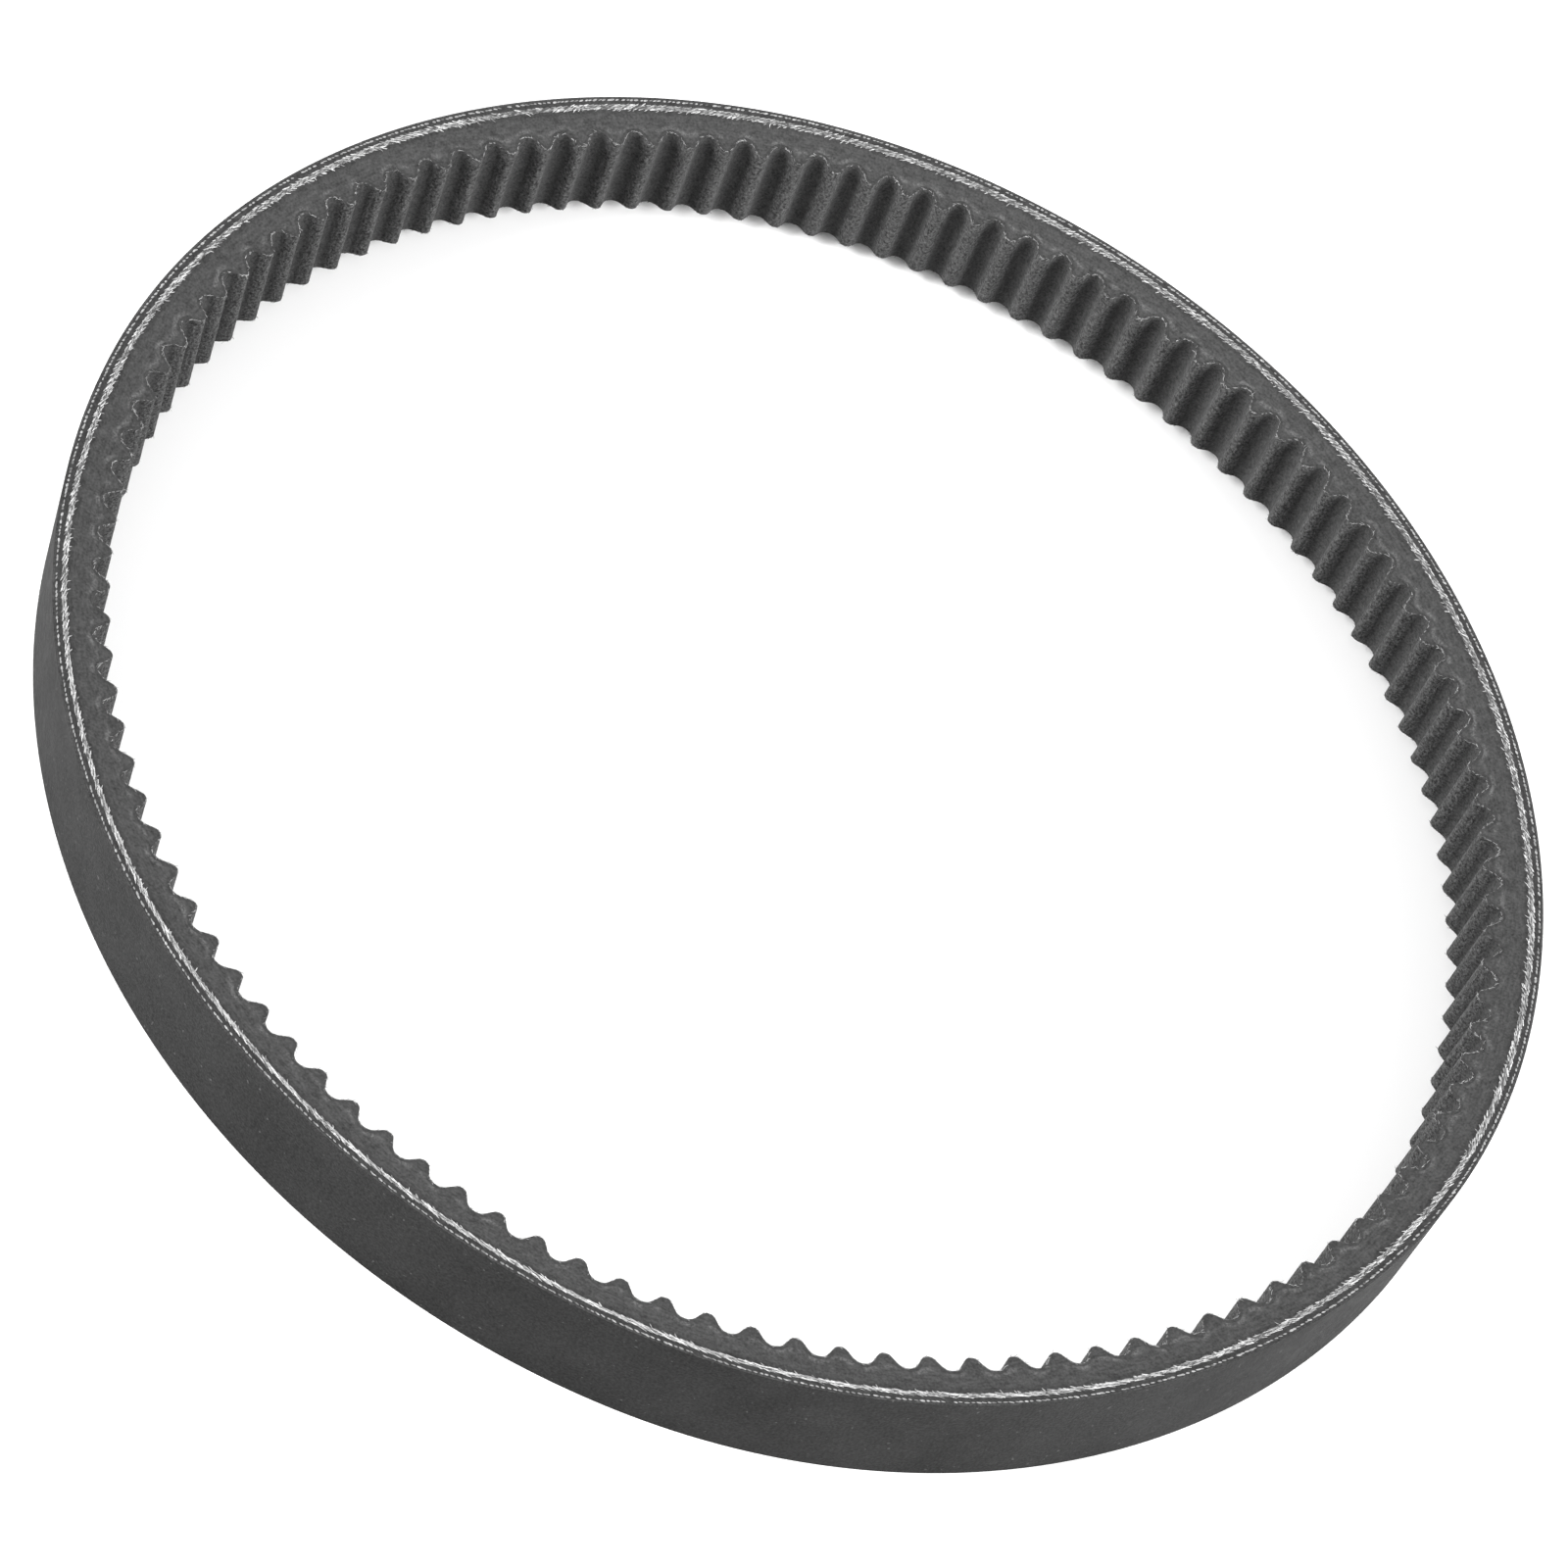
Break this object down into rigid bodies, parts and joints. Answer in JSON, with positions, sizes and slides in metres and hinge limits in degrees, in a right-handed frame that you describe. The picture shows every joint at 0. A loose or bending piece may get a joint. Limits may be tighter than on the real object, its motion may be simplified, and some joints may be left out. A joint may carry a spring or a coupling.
{
  "type": "cogged v-belt",
  "caption": "Endless raw-edge cogged V-belt for a variable-speed drive: fabric back, cord line, rubber body with flex cogs under a fabric facing.",
  "frame": {"origin": "centre of the loop, halfway across the belt's width", "axes": "+Z across the belt's width, parallel to the shafts of its pulleys; +X along the longer diameter of the loop at rest"},
  "size_m": [0.3662, 0.3448, 0.03],
  "materials": {
    "back_fabric": "rubberised cotton-blend weave, matte",
    "skim_rubber": "matte",
    "cushion_rubber": "ground matte",
    "tensile_cord": "twisted synthetic cord",
    "cut_cord": "trimmed and frayed synthetic cord",
    "compression_rubber": "fibre-loaded rubber, ground matte",
    "facing_fabric": "rubberised knit, matte and slightly fuzzy"
  },
  "bodies": {
    "root": {"outer_back_fabric": "back_fabric", "back_skim_rubber": "skim_rubber", "inner_back_fabric": "back_fabric", "overcord_rubber": "cushion_rubber", "tensile_cord_windings": "tensile_cord", "upper_flank_cut_cord": "cut_cord", "lower_flank_cut_cord": "cut_cord", "undercord_rubber": "cushion_rubber", "compression_rubber": "compression_rubber", "cog_facing_fabric": "facing_fabric"}
  },
  "joints": []
}
